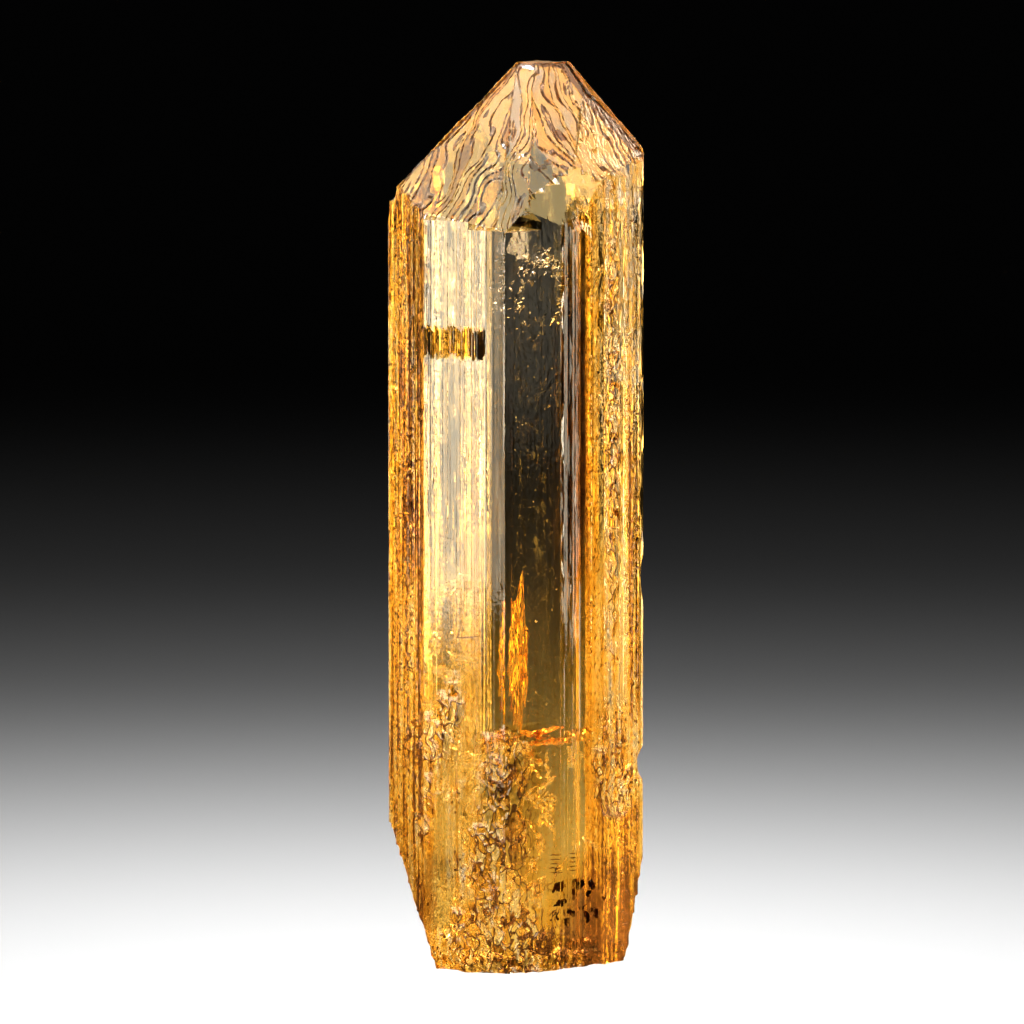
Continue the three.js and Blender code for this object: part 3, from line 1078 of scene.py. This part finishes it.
# %% Topaz: tint
RIM_WIDTH = 0.055
SPOT_WIDTH = 0.22
leaves = leaf_pattern(tree, "F1")
leaf_value = add_node(tree, "SeparateColor", [("Color", leaves.outputs["Color"])]).outputs["Red"]
leaf_rim = leaf_pattern(tree, "DISTANCE_TO_EDGE").outputs["Distance"]
leafy = math_node(tree, "MULTIPLY", math_node(tree, "SUBTRACT", leaf_value, 0.62), 0.6)
rimmed = math_node(tree, "MULTIPLY", math_node(tree, "LESS_THAN", leaf_rim, RIM_WIDTH), 0.85)
leafy = math_node(tree, "MULTIPLY", math_node(tree, "SUBTRACT", leafy, rimmed), broken_here)

streaky = math_node(tree, "MULTIPLY", math_node(tree, "SUBTRACT", streaks, 0.5), 2.3)
grainy = math_node(tree, "MULTIPLY", math_node(tree, "SUBTRACT", grain, 0.5), 1.2)
change = math_node(tree, "MULTIPLY", math_node(tree, "ADD", streaky, grainy), stained_here)
spotted = math_node(tree, "MULTIPLY", math_node(tree, "LESS_THAN", specks, SPOT_WIDTH), stained_here)
change = math_node(tree, "SUBTRACT", change, math_node(tree, "MULTIPLY", spotted, 0.9))
level = math_node(tree, "ADD", tone_here, math_node(tree, "ADD", change, leafy))
colours = add_node(tree, "ValToRGB", [("Fac", level)])
for place, _ in TONES[1:-1]:
    colours.color_ramp.elements.new(place)
for stop, (place, text) in zip(colours.color_ramp.elements, TONES):
    stop.position, stop.color = place, linear(text)

# %% Topaz: relief, body and depth
relief = math_node(tree, "ADD", math_node(tree, "MULTIPLY", lines, 0.5), grain)
relief = math_node(tree, "MULTIPLY", relief, rough_here)
leaf_relief = math_node(tree, "MULTIPLY", leaves.outputs["Distance"], broken_here)
relief = math_node(tree, "ADD", relief, math_node(tree, "MULTIPLY", leaf_relief, 1.6))
etching = add_node(tree, "Bump", [("Height", relief)], Strength=1.0, Distance=ETCH_DEPTH)
tree.links.new(colours.outputs["Color"], stone.inputs["Base Color"])
tree.links.new(etching.outputs["Normal"], stone.inputs["Normal"])
depth_colour = add_node(tree, "VolumeAbsorption", Density=6.0, Color=linear("#e8c878"))
tree.links.new(depth_colour.outputs["Volume"], output.inputs["Volume"])
mesh.materials.append(material)
print(material.name, "has", len(tree.nodes), "nodes")

# %% [markdown]
# ## Air gap
# A clean crack holds air. Its skin is as clear as the stone and without tint, so it throws back most of the
# light that comes at a low angle. That gives the eye a silvery flash from one side and nothing from
# another.

# %% Air gap
material, *_ = new_material("air gap in topaz", Base_Color=linear("#ffffff"), **CLEAR_STONE)
mesh.materials.append(material)

# %% [markdown]
# ## Iron in the cracks
# Water has left iron in some cracks. A thin film of oxide gives the eye a golden or reddish gleam like
# metal, so it is metallic and nearly smooth. Grains of ore are dull, and give small dark points.

# %% Iron films and ore
for name, colour, metallic, roughness in (
    ("iron oxide film in a crack", "#e6c080", 1.0, 0.12),
    ("dark iron ore speck", "#6e3c16", 0.0, 0.6),
    ("red iron oxide film in a crack", "#eec890", 1.0, 0.12),
):
    material, *_ = new_material(name, Base_Color=linear(colour), Metallic=metallic, Roughness=roughness)
    mesh.materials.append(material)
print("materials:", ", ".join(material.name for material in mesh.materials))

# %% [markdown]
# ## A pale table
# The crystal stands on a matt, painted table, which gives the eye an even, pale ground with a soft shadow.
# It lies a hair below the foot, and is left out of sharp reflections, so that the clean faces stay clear.

# %% Floor
FLOOR_SIZE = 3.0
FLOOR_GAP = 0.02 * MM
bm = bmesh.new()
bmesh.ops.create_grid(bm, x_segments=1, y_segments=1, size=FLOOR_SIZE / 2)
floor_mesh = bpy.data.meshes.new("floor")
bm.to_mesh(floor_mesh)
bm.free()
floor = new_object("floor", floor_mesh)
floor.location.z = -FLOOR_GAP
floor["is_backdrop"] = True
floor.visible_glossy = False
material, *_ = new_material("pale table", Base_Color=linear("#e6e6e6"), Roughness=0.9)
floor_mesh.materials.append(material)
print("table:", FLOOR_SIZE, "m wide")

# %% [markdown]
# ## Panels of light
# A clear crystal shows what it mirrors and bends. Bare lamps would only give it white dots, and soft panels
# give whole faces an even sheen. Softboxes light the crystal only, and the table keeps its own light.


# %% A panel and a softbox
WARM = "#fff0d0"


def panel(name, azimuth, elevation, distance, wide, tall, radiance, colour=WARM, look_at=(0, 0, 25)):
    """A soft panel, placed in millimetres; azimuth 0 is in front of the crystal and 90 to its right."""
    data = bpy.data.lights.new(name, "AREA")
    data.shape = "RECTANGLE"
    data.size, data.size_y = wide * MM, tall * MM
    data.energy = radiance * math.pi * data.size * data.size_y
    data.color = linear(colour)[:3]
    light = new_object(name, data)
    turn, lift = math.radians(azimuth), math.radians(elevation)
    away = Vector((math.sin(turn) * math.cos(lift), -math.cos(turn) * math.cos(lift), math.sin(lift)))
    light.location = (Vector(look_at) + away * distance) * MM
    light.rotation_mode = "QUATERNION"
    light.rotation_quaternion = away.to_track_quat("Z", "Y")
    light.visible_camera = False
    return light


only_crystal = bpy.data.collections.new("lit by the softboxes")
only_crystal.objects.link(topaz)


def softbox(*settings, **more):
    panel(*settings, **more).light_linking.receiver_collection = only_crystal


# %% [markdown]
# ## Light for the front faces
# Two bright panels at the left are mirrored by the left front face. The brighter one fades out below in
# thin strips, because a hard end would draw a line across the face. The strips in front give the broad
# faces their glow, and the low ones light the broken foot.

# %% Panels at the left and in front
LEFT_RADIANCE = 9.3
FADE_STEPS = 10
FADE_HEIGHT = 0.7
softbox("left panel", -56.5, 0, 120, 25, 140, LEFT_RADIANCE, look_at=(0, 0, 77.6))
for step in range(FADE_STEPS):
    radiance = LEFT_RADIANCE * ((step + 0.5) / FADE_STEPS) ** 1.5
    aim = (0, 0, 0.95 + FADE_HEIGHT * step)
    softbox("left panel fade", -56.5, 0, 120, 25, FADE_HEIGHT, radiance, look_at=aim)
softbox("left panel edge", -46.5, 0, 122, 14, 140, 3.2, look_at=(0, 0, 76))
for azimuth, radiance in ((-18, 6.5), (18, 5.0), (36, 6.5)):
    softbox("front strip", azimuth, 0, 90, 12, 110, radiance, look_at=(0, 0, 55))
for azimuth in (-30, 20):
    softbox("low front", azimuth, 0, 70, 24, 20, 3.2, look_at=(0, 0, 11))

# %% [markdown]
# ## Light for the sides, the top and the back
# Narrow strips at the right make the stripes there glitter. Large panels overhead are mirrored by the
# sloping faces, and those behind draw the edges.

# %% Panels at the right, overhead and behind
for name, azimuth, elevation, distance, wide, tall, radiance, aim_height in (
    ("right fill", 25, 0, 70, 12, 100, 2.4, 50),
    ("right strip", 74, 0, 130, 8, 120, 4.6, 62),
    ("right glint", 85.2, 0, 130, 4, 120, 18.0, 62),
    ("overhead left", -58, 45, 180, 120, 110, 4.4, 45),
    ("overhead middle", -16, 51, 180, 120, 110, 4.4, 45),
    ("overhead right", 58, 40, 180, 120, 110, 3.0, 45),
    ("high right", 84, 25, 180, 60, 50, 2.6, 45),
    ("rim left", -128, 12, 160, 90, 110, 1.0, 30),
    ("rim right", 128, 12, 160, 90, 110, 1.0, 30),
    ("back glow", 180, 18, 450, 500, 250, 0.3, 0),
):
    softbox(name, azimuth, elevation, distance, wide, tall, radiance, look_at=(0, 0, aim_height))
for lowest, radiance in ((22, 1.0), (18, 0.8), (14, 0.5), (-15, 0.2)):
    softbox("dim right", 55.7, 0, 130, 6, 60, radiance, look_at=(0.9, -5.0, lowest + 30))
softbox("high glow", 67, 13, 180, 40, 34, 5.6, "#ffdf9c", look_at=(0, 0, 42))

# %% [markdown]
# ## Light for the table
# Three lamps straight above make a pool of light that fades outwards. Only the table may shade them, so
# they cast no shadow of the crystal.

# %% Table lamps
only_floor = bpy.data.collections.new("the only thing that shades the table lamps")
only_floor.objects.link(floor)
for name, forward, spread, radiance in (
    ("table lamp", 25, 32, 1.21),
    ("table wash", 20, 50, 0.95),
    ("table glow", 0, 78, 0.48),
):
    lamp = panel(name, 0, 90, 320, 120, 120, radiance, "#ffffff", look_at=(0, -forward, 0))
    lamp.data.spread = math.radians(spread)
    lamp.light_linking.blocker_collection = only_floor
print("table lamps hang", round(lamp.location.z / MM), "mm above the table")

# %% [markdown]
# ## World and light paths
# The world is nearly black, so that only the panels are mirrored. Light has to pass many faces and gaps
# before it leaves the stone, so it may bend up to 24 times. Caustics only add noise and are off.

# %% World and light paths
world = bpy.data.worlds.new("studio")
world.use_nodes = True
world.node_tree.nodes["Background"].inputs["Color"].default_value = (0.001, 0.001, 0.001, 1.0)
bpy.context.scene.world = world
bpy.context.scene.view_settings.view_transform = "Standard"
paths = bpy.context.scene.cycles
paths.caustics_reflective = False
paths.caustics_refractive = False
paths.glossy_bounces = 16
paths.transmission_bounces = 24
paths.max_bounces = 24
print("light may bend", paths.transmission_bounces, "times")

# %% [markdown]
# ## Sizes and finish
# Last, the box of what was made is written down; the frame's box was written at the start. The second lies
# inside the first, because all relief was taken inwards.

# %% Sizes and finish
low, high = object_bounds()
print("visual box in mm:", [round(s / MM, 2) for s in high - low])
